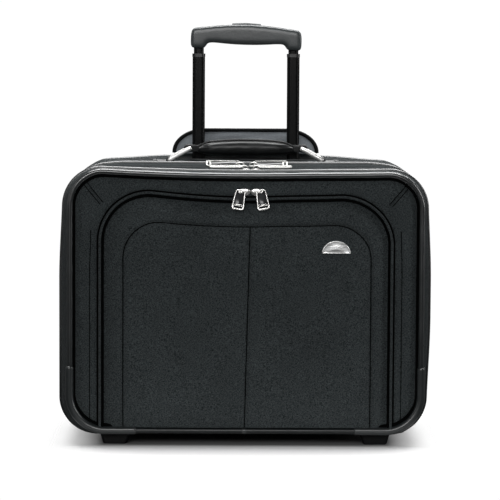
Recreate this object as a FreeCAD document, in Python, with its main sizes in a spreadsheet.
import FreeCAD, Part
import math
import os
import Sketcher

"""Rolling laptop case: a soft-sided wheeled case with two full-depth zipped compartments, a zipped
front pocket, a padded carry handle on metal loops, and a telescopic pull handle that stows in a
well at the rear of the top.

Frame: millimetres, +X to the case's right seen from the front, +Y from the front face to the back,
+Z up. The origin is on the floor, at the middle of the case's overall width and depth.
"""

V = FreeCAD.Vector
Constraint = Sketcher.Constraint
SIDES = (-1, 1)
NAMED_SIDES = (("left", -1), ("right", 1))

doc = FreeCAD.newDocument("rolling_laptop_case")
sheet = doc.addObject("Spreadsheet::Sheet", "Params")


class Dimension:
    """A number that remembers the spreadsheet expression it came from."""

    def __init__(self, value, expression):
        self.value, self.expression = float(value), expression

    @staticmethod
    def of(x):
        if isinstance(x, Dimension):
            return x
        return Dimension(x, repr(float(x)) if x >= 0 else "(%r)" % float(x))

    def _joined(self, other, sign, value):
        return Dimension(value, "(%s %s %s)" % (self.expression, sign, other.expression))

    def __add__(self, other):
        other = Dimension.of(other)
        return self._joined(other, "+", self.value + other.value)

    def __radd__(self, other):
        return Dimension.of(other) + self

    def __sub__(self, other):
        other = Dimension.of(other)
        return self._joined(other, "-", self.value - other.value)

    def __rsub__(self, other):
        return Dimension.of(other) - self

    def __mul__(self, other):
        other = Dimension.of(other)
        return self._joined(other, "*", self.value * other.value)

    def __rmul__(self, other):
        return Dimension.of(other) * self

    def __truediv__(self, other):
        other = Dimension.of(other)
        return self._joined(other, "/", self.value / other.value)

    def __neg__(self):
        return Dimension(-self.value, "(0 - %s)" % self.expression)


# ---- driving dimensions, in mm and degrees: alias, value, note ----
VALUES = [
    ("case_w", 430, "outer width of the two deep gussets"),
    ("front_w", 406, "width of the lid's front face"),
    ("ring_lo", 16, "underside of the soft body"),
    ("lid_hi", 316, "top of the lid at its front face"),
    ("mid_hi", 318, "top of the middle section and of the lid's rear edge"),
    ("rear_hi", 327, "top of the rear section at the back"),
    ("wall", 4, "padded fabric wall"),
    ("r_front_top", 46, "front face, upper corner radius"),
    ("r_front_bot", 37, "front face, lower corner radius"),
    ("r_top", 57, "gusset upper corner radius"),
    ("r_bot", 50, "gusset lower corner radius"),
    ("r_back_top", 62, "back edge upper corner radius"),
    ("y_front", -94, "front face of the lid"),
    ("y_lid_back", -66, "lid's rear edge"),
    ("y_mid_front", -56, "middle section's front edge"),
    ("y_mid_back", -14, "middle section's rear edge"),
    ("y_rear_front", -4, "rear section's front edge"),
    ("y_rear_back", 96, "rear section's back edge"),
    ("y_back", 100, "outer face of the back panel"),
    ("zip_front_y", -61, "centre of the front compartment zip"),
    ("zip_rear_y", -9, "centre of the rear compartment zip"),
    ("zip_gap", 1.2, "gap between the two halves of a zip chain"),
    ("tape_t", 1.6, "zip chain thickness"),
    ("tape_inset", 1.2, "zip chain below the outer surface"),
    ("tape_w", 4.4, "width of half a zip"),
    ("pocket_w", 336, "front pocket zip line, width"),
    ("pocket_lo", 24, "front pocket, lower edge"),
    ("pocket_hi", 293, "front pocket zip line, top"),
    ("pocket_r", 60, "front pocket zip line, corner radius"),
    ("pocket_front", -102.2, "front pocket panel, outer face"),
    ("pocket_t", 4.4, "front pocket panel, padded thickness"),
    ("pocket_zip_y", -99.4, "pocket zip chain, front face"),
    ("piping_r", 3.5, "edge piping radius"),
    ("piping_y", -97.7, "front piping centre"),
    ("slider_len", 11, "zip slider length"),
    ("slider_w", 8.8, "zip slider width"),
    ("slider_x", 5, "where each pair of sliders meets"),
    ("rear_slider_x", 1, "where the rear compartment's sliders meet"),
    ("slider_off", 6.6, "slider centre from that place"),
    ("pull_len", 16, "pocket zip pull, flat part"),
    ("top_pull_len", 30, "compartment zip pull, flat part"),
    ("pull_w", 12.4, "zip pull width"),
    ("pull_t", 2.4, "zip pull thickness"),
    ("tube_x", 57, "pull handle tubes, from the centre"),
    ("tube_y", 70, "pull handle tubes, depth"),
    ("outer_w", 21, "fixed tube"),
    ("outer_d", 19, "fixed tube"),
    ("lower_w", 18, "lower stage tube"),
    ("lower_d", 16, "lower stage tube"),
    ("middle_w", 15, "middle stage tube"),
    ("middle_d", 13, "middle stage tube"),
    ("upper_w", 12, "upper stage tube"),
    ("upper_d", 10, "upper stage tube"),
    ("tube_wall", 1, "tube wall"),
    ("well_floor", 276, "floor of the handle well"),
    ("well_w", 186, "handle well, outer width"),
    ("well_front", 46, "handle well, front wall"),
    ("well_back", 93.5, "handle well, rear wall"),
    ("grip_lo", 454, "underside of the grip's sockets"),
    ("grip_part", 470, "grip parting line"),
    ("grip_hi", 485.5, "top of the grip"),
    ("grip_w", 132, "grip width"),
    ("grip_d", 28, "grip depth"),
    ("wheel_x", 156, "wheel centre"),
    ("wheel_y", 78.4, "wheel centre"),
    ("wheel_r", 27, "wheel radius"),
    ("wheel_w", 20, "wheel width"),
    ("axle_r", 3, "axle radius"),
    ("base_lo", 12.5, "underside of the base plate"),
    ("base_t", 3, "base plate thickness"),
    ("foot_x", 151, "front foot centre"),
    ("foot_w", 35, "front foot width at its top"),
    ("foot_y", -71, "front foot centre"),
    ("foot_d", 26, "front foot depth"),
    ("carry_y", 30, "carry handle centre line"),
    ("carry_pivot_x", 90, "loop pivot on the case"),
    ("carry_pivot_z", 325.6, "loop pivot on the case"),
    ("carry_top_x", 66.3, "loop bar in the handle"),
    ("carry_top_z", 338.4, "loop bar in the handle"),
    ("loop_w", 30, "loop width"),
    ("flap_w", 182, "well flap width"),
    ("flap_len", 34.5, "well flap length"),
    ("flap_t", 4, "well flap thickness"),
    ("flap_lean", 12, "well flap leans back when open"),
]


class Sizes:
    """The driving dimensions, one attribute for each alias."""


dim = Sizes()
for row, (alias, value, note) in enumerate(VALUES, 1):
    sheet.set("A%d" % row, alias)
    sheet.set("B%d" % row, repr(value))
    sheet.set("C%d" % row, note)
    sheet.setAlias("B%d" % row, alias)
    setattr(dim, alias, Dimension(value, "Params." + alias))
doc.recompute()

NODES = []


def keep(obj, name):
    """Label a finished sub-part with its file name and list it for export."""
    obj.Label = name
    NODES.append((name, obj))
    return obj


def piece(build):
    """Decorator: build a sub-part at once and name it after its function."""
    return keep(build(), build.__name__)


# ---- solids and booleans ----
def bind(obj, prop, size):
    obj.setExpression(prop, Dimension.of(size).expression)


def place(obj, x=0, y=0, z=0, axis=None, angle=0):
    x, y, z = (Dimension.of(c) for c in (x, y, z))
    turn = FreeCAD.Rotation(V(*axis), angle) if axis else FreeCAD.Rotation()
    obj.Placement = FreeCAD.Placement(V(x.value, y.value, z.value), turn)
    for letter, size in (("x", x), ("y", y), ("z", z)):
        if "Params." in size.expression:
            obj.setExpression(".Placement.Base." + letter, size.expression)
    return obj


def box(length, depth, height, x, y, z):
    """A box from its lowest corner."""
    obj = doc.addObject("Part::Box", "box")
    bind(obj, "Length", length)
    bind(obj, "Width", depth)
    bind(obj, "Height", height)
    return place(obj, x, y, z)


def centred_box(length, depth, height, x, y, z):
    """A box centred on x and y, standing on z."""
    return box(length, depth, height, x - length / 2, y - depth / 2, z)


def cylinder(radius, height, x, y, z, axis=None, angle=0):
    obj = doc.addObject("Part::Cylinder", "cylinder")
    bind(obj, "Radius", radius)
    bind(obj, "Height", height)
    return place(obj, x, y, z, axis, angle)


def cylinder_x(radius, length, x, y, z):
    """A cylinder from x along +X."""
    return cylinder(radius, length, x, y, z, (0, 1, 0), 90)


def cylinder_y(radius, length, x, y, z):
    """A cylinder from y along +Y."""
    return cylinder(radius, length, x, y, z, (1, 0, 0), -90)


def fuse(*shapes):
    obj = doc.addObject("Part::MultiFuse", "fuse")
    obj.Shapes = list(shapes)
    return obj


def cut(base, *tools):
    obj = doc.addObject("Part::Cut", "cut")
    obj.Base = base
    obj.Tool = tools[0] if len(tools) == 1 else fuse(*tools)
    return obj


def group(*shapes):
    obj = doc.addObject("Part::Compound", "group")
    obj.Links = list(shapes)
    return obj


def feature(shape):
    obj = doc.addObject("Part::Feature", "swept")
    obj.Shape = shape
    return obj


# ---- sketches and bodies; an outline is (width, low, high, upper radius, lower radius) ----
def new_body():
    return doc.addObject("PartDesign::Body", "body")


def new_sketch(body, role, lift=0):
    """A sketch on one of the body's origin planes, lifted along the plane's normal."""
    lift = Dimension.of(lift)
    sketch = body.newObject("Sketcher::SketchObject", "sketch")
    base = [f for f in body.Origin.OriginFeatures if f.Role == role][0]
    sketch.AttachmentSupport = [(base, "")]
    sketch.MapMode = "FlatFace"
    sketch.AttachmentOffset = FreeCAD.Placement(V(0, 0, lift.value), FreeCAD.Rotation())
    if "Params." in lift.expression:
        sketch.setExpression(".AttachmentOffset.Base.z", lift.expression)
    return sketch


def drive(sketch, size, *target):
    """Add a dimensional constraint, bound to the spreadsheet where its size comes from there."""
    size = Dimension.of(size)
    index = sketch.addConstraint(Constraint(*target, size.value))
    if "Params." in size.expression:
        sketch.setExpression("Constraints[%d]" % index, size.expression)


def add_outline(sketch, outline):
    """Draw a rounded rectangle centred on the sketch's vertical axis."""
    width, low, high, r_high, r_low = (Dimension.of(size) for size in outline)
    half, bottom, top = width.value / 2, low.value, high.value
    upper, lower = r_high.value, r_low.value
    quarter = math.pi / 2

    def line(x1, y1, x2, y2):
        return Part.LineSegment(V(x1, y1, 0), V(x2, y2, 0))

    def arc(x, y, radius, quadrant):
        circle = Part.Circle(V(x, y, 0), V(0, 0, 1), radius)
        return Part.ArcOfCircle(circle, quadrant * quarter, (quadrant + 1) * quarter)

    first = sketch.GeometryCount
    sketch.addGeometry(
        [
            line(-half + lower, bottom, half - lower, bottom),
            arc(half - lower, bottom + lower, lower, -1),
            line(half, bottom + lower, half, top - upper),
            arc(half - upper, top - upper, upper, 0),
            line(half - upper, top, -half + upper, top),
            arc(-half + upper, top - upper, upper, 1),
            line(-half, top - upper, -half, bottom + lower),
            arc(-half + lower, bottom + lower, lower, 2),
        ],
        False,
    )
    g = [first + i for i in range(8)]
    sketch.addConstraint(
        [Constraint("Tangent", g[i], 2, g[(i + 1) % 8], 1) for i in range(8)]
        + [
            Constraint("Horizontal", g[4]),
            Constraint("Vertical", g[2]),
            Constraint("Vertical", g[6]),
            Constraint("Equal", g[3], g[5]),
            Constraint("Equal", g[1], g[7]),
            Constraint("Symmetric", g[0], 1, g[0], 2, -2),
        ]
    )
    drive(sketch, r_high, "Radius", g[3])
    drive(sketch, r_low, "Radius", g[1])
    drive(sketch, width, "DistanceX", g[6], 1, g[2], 1)
    drive(sketch, low, "DistanceY", -1, 1, g[0], 1)
    drive(sketch, high - low, "DistanceY", g[0], 1, g[4], 1)


def pad(body, sketch, length):
    obj = body.newObject("PartDesign::Pad", "pad")
    obj.Profile = sketch
    bind(obj, "Length", length)
    return body


def prism(role, length, *outlines):
    """An unplaced prism on an origin plane; a second outline is a hole."""
    body = new_body()
    sketch = new_sketch(body, role)
    for outline in outlines:
        add_outline(sketch, outline)
    return pad(body, sketch, length)


def prism_y(y_back, depth, *outlines, z=0):
    """A prism along Y, from y_back forward by depth."""
    return place(prism("XZ_Plane", depth, *outlines), 0, y_back, z)


# sketches start this far above their own axis where their lower edge would otherwise be negative
LIFT = 100


def prism_z(z, height, width, depth, radius, x=0, y=0, hole=None):
    """A rounded-rectangle prism standing on z, with an optional hole (width, depth, radius)."""
    outlines = [
        (w, LIFT - d / 2, LIFT + d / 2, r, r)
        for w, d, r in ([(width, depth, radius)] + ([hole] if hole else []))
    ]
    return place(prism("XY_Plane", height, *outlines), x, y - LIFT, z)


def loft_y(y_back, depth, back, front, hollow_depth, hollow_back, hollow_front):
    """A ruled loft along Y between two outlines, hollowed from the back by a second loft."""
    body = new_body()
    for kind, length, start, end in (
        ("AdditiveLoft", depth, back, front),
        ("SubtractiveLoft", hollow_depth, hollow_back, hollow_front),
    ):
        start_sketch, end_sketch = new_sketch(body, "XZ_Plane"), new_sketch(body, "XZ_Plane", length)
        add_outline(start_sketch, start)
        add_outline(end_sketch, end)
        loft = body.newObject("PartDesign::" + kind, "loft")
        loft.Profile = start_sketch
        loft.Sections = [end_sketch]
        loft.Ruled = True
    return place(body, 0, y_back, 0)


def fillet(body, radius, test):
    """Round the edges of the body's tip that pass test, in the body's own frame."""
    doc.recompute()
    tip = body.Tip
    names = ["Edge%d" % i for i, edge in enumerate(tip.Shape.Edges, 1) if test(edge)]
    obj = body.newObject("PartDesign::Fillet", "fillet")
    obj.Base = (tip, names)
    bind(obj, "Radius", radius)
    return body


def along(edge, axis):
    """Is this a straight edge parallel to axis?"""
    if len(edge.Vertexes) != 2 or edge.Curve.TypeId != "Part::GeomLine":
        return False
    run = edge.Vertexes[1].Point - edge.Vertexes[0].Point
    return run.Length > 0 and abs(abs(run.normalize().dot(V(*axis))) - 1) < 1e-6


# ================= fits shared by several pieces =================
HOUSING_W, HOUSING_FRONT, HOUSING_BACK = 38, 48, 104
HOUSING_LO, HOUSING_HI = 7, 62
HOUSING_GAP = 0.4
SCREW_HOLE_R = 2.1
TUBE_SCREW_X = 68
well_mid_y = (dim.well_front + dim.well_back) / 2
well_d = dim.well_back - dim.well_front


def housing_space(side):
    """The room a wheel housing takes, open through the bottom and the back."""
    front, low = HOUSING_FRONT - HOUSING_GAP, 2
    width = HOUSING_W + 2 * HOUSING_GAP
    depth, height = HOUSING_BACK + 12 - front, HOUSING_HI + 2.4 - low
    return box(width, depth, height, side * dim.wheel_x - width / 2, front, low)


def foot_screw_places(side):
    return [(side * dim.foot_x, dim.foot_y + offset) for offset in (-8, 8)]


# ================= soft body =================
def inset(outline, distance):
    width, low, high, r_high, r_low = outline
    return (
        width - 2 * distance,
        low + distance,
        high - distance,
        r_high - distance,
        r_low - distance,
    )


MID_LINE = (dim.case_w, dim.ring_lo, dim.mid_hi, dim.r_top, dim.r_bot)
REAR_LINE = (dim.case_w - 4, dim.ring_lo, dim.rear_hi, dim.r_back_top, dim.r_bot)


def lid_front_line(extra_w=0):
    return (dim.front_w + extra_w, dim.ring_lo, dim.lid_hi, dim.r_front_top, dim.r_front_bot)


@piece
def rear_shell():
    """Band round the rear compartment, open at both ends."""
    depth = dim.y_rear_back - dim.y_rear_front
    rear_in, mid_in = inset(REAR_LINE, dim.wall), inset(MID_LINE, dim.wall)
    band = loft_y(dim.y_rear_back, depth, REAR_LINE, MID_LINE, depth, rear_in, mid_in)
    well_hole = centred_box(dim.well_w + 1, well_d + 1, 60, 0, well_mid_y, 300)
    screw_holes = [cylinder(SCREW_HOLE_R, 12, s * TUBE_SCREW_X, dim.tube_y, 12) for s in SIDES]
    return cut(band, well_hole, housing_space(1), housing_space(-1), *screw_holes)


@piece
def back_panel():
    seam = 0.1
    panel = prism_y(dim.y_back, dim.y_back - dim.y_rear_back - seam, inset(REAR_LINE, 1))
    return cut(panel, housing_space(1), housing_space(-1))


@piece
def tube_cover_panel():
    """Board that closes off the tube channel inside the rear compartment."""
    return centred_box(250, 2, 250, 0, 57, 22)


@piece
def mid_shell():
    depth = dim.y_mid_back - dim.y_mid_front
    return prism_y(dim.y_mid_back, depth, MID_LINE, inset(MID_LINE, dim.wall))


@piece
def laptop_divider():
    width, low, high, r_high, r_low = inset(MID_LINE, dim.wall)
    gap = 0.3
    return prism_y(dim.y_mid_back - 1, 5, (width - 2 * gap, low + gap, high - gap, r_high, r_low))


@piece
def lid_shell():
    """Front wall and a tapering band."""
    depth = dim.y_lid_back - dim.y_front
    mid_in, front_in = inset(MID_LINE, dim.wall), inset(lid_front_line(extra_w=2), dim.wall)
    return loft_y(
        dim.y_lid_back, depth, MID_LINE, lid_front_line(), depth - dim.wall, mid_in, front_in
    )


@piece
def organiser_panel():
    """Thin panel inside the lid, with a low raised slab on its rear face."""
    return fuse(
        prism_y(dim.y_front + 9, 2, (370, 30, 290, 30, 20)),
        prism_y(dim.y_front + 12, 3, (356, 34, 130, 6, 6)),
    )


# ================= front pocket =================
def pocket_line(offset, raised=0):
    """The pocket's zip line, offset outwards at the sides and top, lower edge raised."""
    return (
        dim.pocket_w + 2 * offset,
        dim.pocket_lo + raised,
        dim.pocket_hi + offset,
        dim.pocket_r + offset,
        3,
    )


def pocket_band(y_back, depth, outer, inner):
    """A band between two offsets of the zip line, open at the bottom."""
    band = prism_y(y_back, depth, pocket_line(outer), pocket_line(inner, 2))
    return cut(band, centred_box(400, 20, 10, 0, dim.y_front, dim.pocket_lo - 4))


@piece
def pocket_panel():
    return prism_y(dim.pocket_front + dim.pocket_t, dim.pocket_t, pocket_line(-5.1))


@piece
def pocket_gusset():
    """Wall that lifts the pocket zip off the lid's front wall."""
    return pocket_band(dim.y_front - 0.05, dim.y_front - dim.pocket_zip_y + 0.6, 8, 5.2)


@piece
def pocket_zip_chain():
    """The lid's half of the pocket zip chain."""
    return pocket_band(dim.pocket_zip_y + dim.tape_t, dim.tape_t, 5.1, 0.6)


@piece
def badge_plate():
    """Half-round plate on the pocket panel."""
    half_w, height, radius, thickness = 16.5, 14.5, 16.63, 1.8
    left, right = V(-half_w, 0, 0), V(half_w, 0, 0)
    body = new_body()
    sketch = new_sketch(body, "XZ_Plane")
    sketch.addGeometry(
        [Part.LineSegment(left, right), Part.Arc(right, V(0, height, 0), left)], False
    )
    sketch.addConstraint(
        [
            Constraint("Coincident", 0, 2, 1, 1),
            Constraint("Coincident", 1, 2, 0, 1),
            Constraint("Horizontal", 0),
            Constraint("Symmetric", 0, 1, 0, 2, -1, 1),
            Constraint("DistanceX", 0, 1, 0, 2, 2 * half_w),
            Constraint("Radius", 1, radius),
        ]
    )
    pad(body, sketch, thickness)
    doc.recompute()
    return place(body, 103.5, dim.pocket_front - 0.1, 223)


# ================= zips of the two compartments =================
def chain_ring(y_back):
    outer = inset(MID_LINE, dim.tape_inset)
    inner = inset(MID_LINE, dim.tape_inset + dim.tape_t)
    return prism_y(y_back, dim.tape_w, outer, inner)


COMPARTMENTS = (
    ("rear", dim.zip_rear_y, dim.rear_slider_x),
    ("front", dim.zip_front_y, dim.slider_x),
)
# half "a" lies behind the zip's centre, half "b" in front of it
for name, zip_y, _ in COMPARTMENTS:
    keep(chain_ring(zip_y + dim.zip_gap / 2 + dim.tape_w), name + "_zip_chain_a")
    keep(chain_ring(zip_y - dim.zip_gap / 2), name + "_zip_chain_b")

# slider and pull details
PLATE_T, PLATE_GAP = 1.2, 0.3
BAR_R = 0.8
BAR_X = 3.2  # bar of a compartment slider, off the slider's centre
TOP_BAR_Z, POCKET_BAR_Z = 4.2, 4.4  # bar above the chain plane
EYE_R, EYE_HOLE_R = 2.1, 1.0
NECK_START, NECK_LEN = 1.5, 4.2
TAB_START = 5.2


def zip_slider(side, bar_along_x):
    """A slider in its own frame: chain from z 0 down, travel along X, pull bar above."""
    length, width, chain_t = dim.slider_len, dim.slider_w, dim.tape_t
    top = centred_box(length, width, PLATE_T, 0, 0, PLATE_GAP)
    bottom = centred_box(length, width, PLATE_T, 0, 0, -chain_t - (PLATE_GAP + PLATE_T))
    divider = centred_box(3.5, 0.7, chain_t + 0.9, side * -3.2, 0, -chain_t - 0.4)
    post_z = 1.4
    if bar_along_x:
        reach = 4.2
        posts = [centred_box(1.4, 2.2, 4.0, s * reach, 0, post_z) for s in SIDES]
        bar = cylinder_x(BAR_R, 2 * reach, -reach, 0, POCKET_BAR_Z)
    else:
        reach = 2.9
        bar_x = side * BAR_X
        posts = [centred_box(2.4, 1.2, 3.8, bar_x, s * reach, post_z) for s in (1, -1)]
        bar = cylinder_y(BAR_R, 2 * reach, bar_x, -reach, TOP_BAR_Z)
    return fuse(top, bottom, divider, *posts, bar)


def top_pull(side):
    """An eye round the slider's bar, a neck, and a flat tab with a finger slot, lying along X."""
    length = dim.top_pull_len
    eye = cut(cylinder_y(EYE_R, 3.6, 0, -1.8, 0), cylinder_y(EYE_HOLE_R, 5, 0, -2.5, 0))
    neck = centred_box(NECK_LEN, 3.0, 1.4, side * (NECK_START + NECK_LEN / 2), 0, -0.7)
    tab = prism_z(-0.9, 1.8, length, 7.6, 2.4, side * (length / 2 + TAB_START))
    slot = prism_z(-2, 4, 3.4, 4.6, 1, side * (length + TAB_START - 3))
    return cut(fuse(eye, neck, tab), slot)


def pocket_pull():
    """The same parts as the top pull, hanging down in the front face."""
    length, thickness = dim.pull_len, dim.pull_t
    eye = cut(cylinder_x(EYE_R, 2.6, -1.3, 0, 0), cylinder_x(EYE_HOLE_R, 4, -2, 0, 0))
    neck = centred_box(2.6, 1.5, NECK_LEN, 0, 0, -(NECK_START + NECK_LEN))
    drop = -(LIFT + TAB_START) - length
    tab_line = (dim.pull_w, LIFT, LIFT + length, 3, 4)
    slot_line = (5.6, LIFT + 2.2, LIFT + 5.4, 1, 1)
    tab = prism_y(thickness / 2, thickness, tab_line, z=drop)
    slot = prism_y(4, 8, slot_line, z=drop)
    return cut(fuse(eye, neck, tab), slot)


chain_z = dim.mid_hi - dim.tape_inset
for name, zip_y, meet_x in COMPARTMENTS:
    for tag, side in NAMED_SIDES:
        x = meet_x + side * dim.slider_off
        slider = place(group(zip_slider(side, False)), x, zip_y, chain_z)
        keep(slider, "%s_zip_slider_%s" % (name, tag))
        pull = place(group(top_pull(side)), x + side * BAR_X, zip_y, chain_z + TOP_BAR_Z)
        keep(pull, "%s_zip_pull_%s" % (name, tag))

# front pocket sliders are turned to lie in the front face
for tag, side in NAMED_SIDES:
    x = dim.slider_x + side * dim.slider_off
    slider = group(zip_slider(side, True))
    place(slider, x, dim.pocket_zip_y, dim.pocket_hi, (1, 0, 0), 90)
    keep(slider, "pocket_zip_slider_" + tag)
    pull = place(group(pocket_pull()), x, dim.pocket_zip_y - POCKET_BAR_Z, dim.pocket_hi)
    keep(pull, "pocket_zip_pull_" + tag)

# ================= edge piping =================
PIPING_R, PIPING_Y = dim.piping_r.value, dim.piping_y.value
# half width, low, high, upper radius, lower radius of the piping's centre lines
FRONT_PIPING = (
    dim.front_w.value / 2 - 0.5,
    dim.ring_lo.value + 1.8,
    dim.lid_hi.value - 0.5,
    dim.r_front_top.value - 0.5,
    dim.r_front_bot.value - 0.5,
)
BACK_PIPING = (
    dim.case_w.value / 2 - 5,
    dim.ring_lo.value + 4.5,
    dim.rear_hi.value - 3,
    dim.r_back_top.value - 3,
    dim.r_bot.value - 3,
)


def corner_points(side, up, half_w, edge_z, radius, y):
    """A corner arc's point on the level edge, its middle, and its point on the upright edge."""
    x, z = side * (half_w - radius), edge_z - up * radius
    diagonal = radius * math.sqrt(0.5)
    return [
        V(x, y, edge_z),
        V(x + side * diagonal, y, z + up * diagonal),
        V(side * half_w, y, z),
    ]


def line_edge(start, end):
    return Part.LineSegment(start, end).toShape()


def arc_edge(points):
    return Part.Arc(*points).toShape()


def sweep(edges, profile):
    """A solid swept along the edges, turned outside-out."""
    shape = Part.Wire(edges).makePipeShell([profile], True, False)
    # the pipe may come back as a bare shell
    shape = shape if shape.ShapeType == "Solid" else Part.Solid(shape)
    if shape.Volume < 0:
        shape.reverse()
    return shape


def piping_loop(line, y, radius):
    half_w, low, high, r_high, r_low = line
    corners = [
        corner_points(1, -1, half_w, low, r_low, y),
        corner_points(1, 1, half_w, high, r_high, y)[::-1],
        corner_points(-1, 1, half_w, high, r_high, y),
        corner_points(-1, -1, half_w, low, r_low, y)[::-1],
    ]
    edges = []
    for i, corner in enumerate(corners):
        edges += [line_edge(corners[i - 1][2], corner[0]), arc_edge(corner)]
    circle = Part.makeCircle(radius, V(-half_w + r_low, y, low), V(1, 0, 0))
    return sweep(edges, Part.Wire(circle))


@piece
def front_piping():
    return feature(piping_loop(FRONT_PIPING, PIPING_Y, PIPING_R))


@piece
def back_piping():
    """Piping round the back panel, open along the bottom."""
    y, open_half_w = dim.y_back.value + 2.9, 178
    loop = piping_loop(BACK_PIPING, y, 2.7)
    gap = Part.makeBox(2 * open_half_w, 20, 60, V(-open_half_w, y - 10, -10))
    return feature(loop.cut(gap).Solids[0])


def corner_guard(side):
    """A sleeve over the front piping round one lower corner."""
    start_x, end_z = 124, 92
    half_w, low, _, _, radius = FRONT_PIPING
    corner = corner_points(side, -1, half_w, low, radius, PIPING_Y)
    path = [
        line_edge(V(side * start_x, PIPING_Y, low), corner[0]),
        arc_edge(corner),
        line_edge(corner[2], V(side * half_w, PIPING_Y, end_z)),
    ]

    def at(r, degrees):
        a = math.radians(degrees)
        return V(side * start_x, PIPING_Y + r * math.cos(a), low + r * math.sin(a))

    # the section is most of a ring, open towards the face of the lid
    outer, inner = 4.7, PIPING_R + 0.1
    start, middle, end = 46, 180, 314
    ring = Part.Wire(
        [
            arc_edge([at(outer, a) for a in (start, middle, end)]),
            line_edge(at(outer, end), at(inner, end)),
            arc_edge([at(inner, a) for a in (end, middle, start)]),
            line_edge(at(inner, start), at(outer, start)),
        ]
    )
    return sweep(path, ring)


@piece
def corner_guards():
    return feature(Part.Compound([corner_guard(side) for side in SIDES]))


# ================= base, feet and wheels =================
base_top = dim.base_lo + dim.base_t


@piece
def base_plate():
    holes = []
    for side in SIDES:
        holes.append(housing_space(side))
        places = foot_screw_places(side) + [(side * TUBE_SCREW_X, dim.tube_y)]
        holes += [cylinder(SCREW_HOLE_R, 20, x, y, 5) for x, y in places]
    return cut(prism_z(dim.base_lo, dim.base_t, 372, 172, 18, 0, 2), *holes)


def foot_edge(edge):
    """The foot's sloping corner edges, and its bottom edges that don't run along X."""
    heights = [vertex.Point.z for vertex in edge.Vertexes]
    at_bottom = not along(edge, (1, 0, 0)) and max(heights) < 1
    return at_bottom or abs(heights[0] - heights[-1]) > 5


def front_foot(side):
    """A block that widens upwards, with two screw holes from above."""
    half_top, half_bottom = dim.foot_w / 2, dim.foot_w / 2 - 3.5
    height = dim.base_lo - 0.05
    points = [
        V(-half_bottom.value, 0, 0),
        V(half_bottom.value, 0, 0),
        V(half_top.value, height.value, 0),
        V(-half_top.value, height.value, 0),
    ]
    body = new_body()
    sketch = new_sketch(body, "XZ_Plane")
    sketch.addGeometry(
        [Part.LineSegment(points[i], points[(i + 1) % 4]) for i in range(4)], False
    )
    sketch.addConstraint([Constraint("Coincident", i, 2, (i + 1) % 4, 1) for i in range(4)])
    sketch.addConstraint(
        [
            Constraint("Horizontal", 0),
            Constraint("Symmetric", 0, 1, 0, 2, -1, 1),
            Constraint("Symmetric", 2, 1, 2, 2, -2),
        ]
    )
    drive(sketch, 2 * half_bottom, "DistanceX", 0, 1, 0, 2)
    drive(sketch, 2 * half_top, "DistanceX", 2, 2, 2, 1)
    drive(sketch, height, "DistanceY", 0, 1, 2, 1)
    pad(body, sketch, dim.foot_d)
    place(body, side * dim.foot_x, dim.foot_y + dim.foot_d / 2, 0)
    fillet(body, 3.5, foot_edge)
    return cut(body, *[cylinder(2.0, 10, x, y, 3) for x, y in foot_screw_places(side)])


@piece
def front_feet():
    return group(*[front_foot(side) for side in SIDES])


BUSH_R, BUSH_HOLE_R = 5, 5.03
hub_len, through_len = dim.wheel_w - 0.4, dim.wheel_w + 2


def on_axle(radius, length, side, offset=0):
    """A cylinder on a wheel's axis, its middle offset along X from the wheel's."""
    x = side * dim.wheel_x + offset - length / 2
    return cylinder_x(radius, length, x, dim.wheel_y, dim.wheel_r)


def wheel_housing(side):
    x, y, radius = side * dim.wheel_x, dim.wheel_y, dim.wheel_r
    mid_y = (HOUSING_FRONT + HOUSING_BACK) / 2
    depth, height = HOUSING_BACK - HOUSING_FRONT, HOUSING_HI - HOUSING_LO
    block = prism_z(HOUSING_LO, height, HOUSING_W, depth, 5, x, mid_y)
    cavity = fuse(
        on_axle(radius + 2.5, through_len, side),
        centred_box(through_len, 2 * radius + 5, 22, x, y, 0),
        box(through_len, 40, 2 * radius - 8, x - through_len / 2, y, 0),
    )
    return cut(block, cavity, on_axle(dim.axle_r + 0.02, 44, side))


def wheel_hub(side):
    """A rim recessed on both faces, and a boss for the bush."""
    recess_r, recess_x = dim.wheel_r - 9.5, dim.wheel_w / 2 - 3.5
    rim = cut(
        on_axle(dim.wheel_r - 6.55, dim.wheel_w - 2, side),
        *[on_axle(recess_r, 5, side, s * recess_x) for s in SIDES],
        on_axle(BUSH_HOLE_R, dim.wheel_w, side),
    )
    boss = cut(on_axle(8, hub_len, side), on_axle(BUSH_HOLE_R, through_len, side))
    return fuse(rim, boss)


def wheel_axle(side):
    head_x = HOUSING_W / 2 + 0.7
    rod = on_axle(dim.axle_r, HOUSING_W + 1.6, side)
    return fuse(rod, *[on_axle(5, 1.2, side, s * head_x) for s in (1, -1)])


for tag, side in NAMED_SIDES:
    tyre = cut(
        on_axle(dim.wheel_r, dim.wheel_w, side), on_axle(dim.wheel_r - 6.5, through_len, side)
    )
    keep(tyre, "wheel_tyre_" + tag)
    keep(wheel_hub(side), "wheel_hub_" + tag)
    bush = cut(on_axle(BUSH_R, hub_len, side), on_axle(dim.axle_r + 0.05, through_len, side))
    keep(bush, "wheel_bush_" + tag)

keep(group(*[wheel_housing(side) for side in SIDES]), "wheel_housings")
keep(group(*[wheel_axle(side) for side in SIDES]), "wheel_axles")


def screw(x, y, shank_z, head_z, head_t):
    return fuse(cylinder(1.9, 12, x, y, shank_z), cylinder(3.6, head_t, x, y, head_z))


@piece
def base_screws():
    """Foot screws with heads above the base plate, tube bracket screws with heads below it."""
    screws = []
    for side in SIDES:
        for x, y in foot_screw_places(side):
            screws.append(screw(x, y, 3.6, base_top + 0.02, 0.45))
        x = side * TUBE_SCREW_X
        screws.append(screw(x, dim.tube_y, dim.base_lo - 1.8, dim.base_lo - 1.9, 1.8))
    return group(*screws)


# ================= telescopic handle =================
TUBE_R = 4.5
COLLAR_GAP, COLLAR_H = 0.05, 4
lower_top, middle_top = dim.well_floor + 0.4, 446.4


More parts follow.
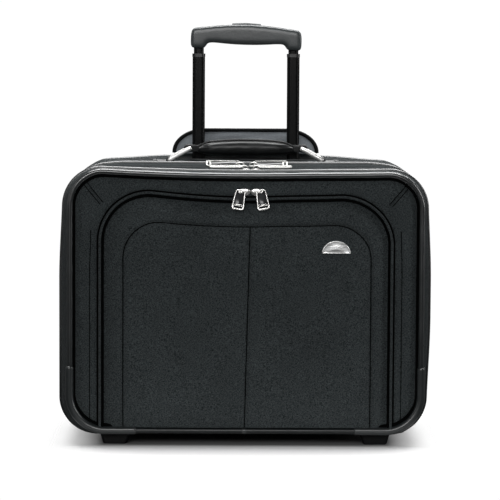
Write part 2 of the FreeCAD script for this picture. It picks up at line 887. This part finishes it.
def at_tubes(z, height, width, depth, radius=TUBE_R, hole=None):
    """A pair of rounded-rectangle prisms on the tubes' axes."""
    return [
        prism_z(z, height, width, depth, radius, s * dim.tube_x, dim.tube_y, hole) for s in SIDES
    ]


# name, width, depth, bottom, top
TUBES = (
    ("fixed_tubes", dim.outer_w, dim.outer_d, 24, dim.well_floor - 2.05),
    ("lower_stage_tubes", dim.lower_w, dim.lower_d, 27, lower_top),
    ("middle_stage_tubes", dim.middle_w, dim.middle_d, 204.5, middle_top),
    ("upper_stage_tubes", dim.upper_w, dim.upper_d, 211, 468),
)
for name, width, depth, bottom, top in TUBES:
    bore = (width - 2 * dim.tube_wall, depth - 2 * dim.tube_wall, 3.5)
    keep(group(*at_tubes(bottom, top - bottom, width, depth, hole=bore)), name)

# name, width, depth, top of the tube below, width and depth of the tube that slides through
COLLARS = (
    ("lower_stage_collars", dim.lower_w + 2, dim.lower_d + 2, lower_top, dim.middle_w, dim.middle_d),
    ("middle_stage_collars", dim.middle_w + 0.6, dim.middle_d + 0.6, middle_top,
     dim.upper_w, dim.upper_d),
)
for name, width, depth, top, inner_w, inner_d in COLLARS:
    bore = (inner_w + 0.4, inner_d + 0.4, 3)
    keep(group(*at_tubes(top + COLLAR_GAP, COLLAR_H, width, depth, hole=bore)), name)


@piece
def tube_foot_bracket():
    """Bracket that ties the fixed tubes to the base plate."""
    block = prism_z(dim.ring_lo + dim.wall + 0.1, 16, 150, 23, 5, 0, dim.tube_y)
    middle_gap = centred_box(78, 40, 30, 0, dim.tube_y, 24)
    sockets = at_tubes(23.9, 30, dim.outer_w + 0.1, dim.outer_d + 0.1)
    screw_holes = [cylinder(2.0, 8, s * TUBE_SCREW_X, dim.tube_y, base_top) for s in SIDES]
    return cut(block, middle_gap, *sockets, *screw_holes)


@piece
def handle_well():
    """Moulded well the grip drops into."""
    wall, floor = 2, dim.well_floor
    outer = prism_z(floor - wall, 50.5, dim.well_w, well_d, 12, 0, well_mid_y)
    inner = prism_z(floor, 60, dim.well_w - 2 * wall, well_d - 2 * wall, 10, 0, well_mid_y)
    holes = at_tubes(floor - 10, 20, dim.lower_w + 0.6, dim.lower_d + 0.6, 4.6)
    return cut(outer, inner, *holes)


def grip_block():
    """The whole rounded grip, before it is parted."""
    outline = (dim.grip_w, dim.grip_lo, dim.grip_hi, 12, 8)
    block = prism_y(dim.tube_y + dim.grip_d / 2, dim.grip_d, outline)
    return fillet(block, 5, lambda edge: not along(edge, (0, 1, 0)))


def grip_cavity(height, z):
    return centred_box(124, 14, height, 0, dim.tube_y, z)


@piece
def grip_upper():
    half = cut(grip_block(), centred_box(200, 60, 60, 0, dim.tube_y, dim.grip_part - 60 + 0.05))
    button_slot = prism_z(dim.grip_part, 30, 36.6, 12.6, 4.8, 0, dim.tube_y)
    return cut(half, grip_cavity(8.5, dim.grip_part - 0.5), button_slot)


@piece
def grip_lower():
    """Lower half: a bar between two sockets for the upper stage tubes."""
    low = dim.grip_lo
    half = cut(grip_block(), centred_box(200, 60, 60, 0, dim.tube_y, dim.grip_part))
    gap_line = (dim.grip_w - 40, low - 20, low + 6.5, 6, 6)
    gap = prism_y(dim.tube_y + dim.grip_d, 2 * dim.grip_d, gap_line)
    cavity = grip_cavity(12, dim.grip_part - 6)
    sockets = at_tubes(low - 5, 19.2, dim.upper_w + 0.1, dim.upper_d + 0.1)
    rod_holes = [cylinder(3.2, 30, s * dim.tube_x, dim.tube_y, low) for s in SIDES]
    return cut(half, gap, cavity, *sockets, *rod_holes)


YOKE_Z = 472


@piece
def release_button():
    height = 12.3
    button = prism_z(YOKE_Z + 3.1, height, 36, 12, 4.5, 0, dim.tube_y)
    return fillet(button, 1.5, lambda edge: edge.BoundBox.ZMin > height - 0.3)


@piece
def release_rods():
    """Yoke below the button, with a push rod down each tube."""
    yoke = centred_box(122, 6, 3, 0, dim.tube_y, YOKE_Z)
    return fuse(yoke, *[cylinder(2.0, 256, s * dim.tube_x, dim.tube_y, 216.5) for s in SIDES])


@piece
def button_spring():
    """Spring under the yoke."""
    coil_r = 3.2
    path = doc.addObject("Part::Helix", "spring_path")
    path.Pitch, path.Height, path.Radius = 1.5, 6.4, coil_r
    wire = doc.addObject("Part::Circle", "spring_wire")
    wire.Radius = 0.4
    wire.Placement = FreeCAD.Placement(V(coil_r, 0, 0), FreeCAD.Rotation(V(1, 0, 0), 90))
    doc.recompute()
    coil = doc.addObject("Part::Sweep", "spring_sweep")
    coil.Sections = [wire]
    coil.Spine = (path, ["Edge1"])
    coil.Solid = True
    coil.Frenet = True
    return place(group(coil), 0, dim.tube_y, 464.9)


@piece
def well_flap():
    """Flap standing open behind the well, leaning back."""
    flap = prism("XZ_Plane", dim.flap_t, (dim.flap_w, 4.5, dim.flap_len, 25, 2))
    y, z = dim.well_back + 3.6, dim.rear_hi - 2.2
    return place(flap, 0, y, z, (1, 0, 0), -dim.flap_lean.value)


# ================= carry handle =================
def carry_loop():
    """A loop along +X from its pivot: two arms, and a bar at each end."""
    arm_w, arm_t, overhang = 3, 4.6, 1.5
    arm_y = dim.loop_w / 2 - arm_w / 2
    arm_len = loop_len + 2 * overhang
    return fuse(
        *[centred_box(arm_len, arm_w, arm_t, loop_len / 2, s * arm_y, -arm_t / 2) for s in SIDES],
        *[cylinder_y(1.6, dim.loop_w - 2, x, 1 - dim.loop_w / 2, 0) for x in (0, loop_len)],
    )


# the loops lean inward: from the pivot on the case up to the handle
loop_run = (dim.carry_pivot_x - dim.carry_top_x).value
loop_rise = (dim.carry_top_z - dim.carry_pivot_z).value
loop_len = math.hypot(loop_run, loop_rise)
loop_angle = math.degrees(math.atan2(loop_rise, loop_run))
for tag, side in NAMED_SIDES:
    loop = group(carry_loop())
    turn = 180 + loop_angle if side > 0 else -loop_angle
    place(loop, side * dim.carry_pivot_x, dim.carry_y, dim.carry_pivot_z, (0, 1, 0), turn)
    keep(loop, "carry_loop_" + tag)

ANCHOR_Z, ANCHOR_T = 322.3, 1.2


def rivet_places(side):
    return [(side * (dim.carry_pivot_x + 18), dim.carry_y + offset) for offset in (-6, 6)]


def carry_anchor(side):
    """A riveted plate with a saddle for the loop's pivot bar."""
    x, y = side * dim.carry_pivot_x, dim.carry_y
    plate = prism_z(ANCHOR_Z, ANCHOR_T, 34, 22, 4, side * (dim.carry_pivot_x + 9), y)
    saddle = centred_box(11, 22, 6.2, x, y, ANCHOR_Z + 1.1)
    pivot_hole = cylinder_y(1.65, 30, x, y - 15, dim.carry_pivot_z)
    rivet_holes = [cylinder(1.6, 8, hole_x, hole_y, 319) for hole_x, hole_y in rivet_places(side)]
    return cut(fuse(plate, saddle), pivot_hole, *rivet_holes)


def rivet(x, y):
    shank = cylinder(1.5, 1.3, x, y, ANCHOR_Z)
    return fuse(shank, cylinder(3, 0.9, x, y, ANCHOR_Z + ANCHOR_T + 0.05))


keep(group(*[carry_anchor(side) for side in SIDES]), "carry_anchors")
keep(group(*[rivet(x, y) for side in SIDES for x, y in rivet_places(side)]), "anchor_rivets")


@piece
def carry_handle_pad():
    """Padded grip with a slotted tab at each end."""
    depth = 24
    grip = prism_y(dim.carry_y + depth / 2, depth, (116, 328, 346.5, 9, 7))
    fillet(grip, 6, lambda edge: True)
    tabs = []
    for side in SIDES:
        tab = centred_box(24, 20, 12, side * 65, dim.carry_y, 332.4)
        slot = centred_box(13, 24, 7.4, side * 66.6, dim.carry_y, 334.7)
        tabs.append(cut(tab, slot))
    return fuse(grip, *tabs)


# ================= check and write =================
doc.recompute()
bad = [(o.Name, o.getStatusString()) for o in doc.Objects if {"Invalid", "Error"} & set(o.State)]
if bad:
    raise SystemExit("objects failed to recompute: %s" % bad)
os.makedirs("parts", exist_ok=True)
for old_file in os.listdir("parts"):
    os.remove(os.path.join("parts", old_file))
for name, obj in NODES:
    shape = obj.Shape
    if shape.isNull() or not shape.isValid() or not shape.Solids:
        raise SystemExit("sub-part %s has no valid solid" % name)
    if any(solid.Volume <= 0 for solid in shape.Solids):
        raise SystemExit("sub-part %s has an inside-out solid" % name)
    shape.exportStep(os.path.join("parts", name + ".step"))
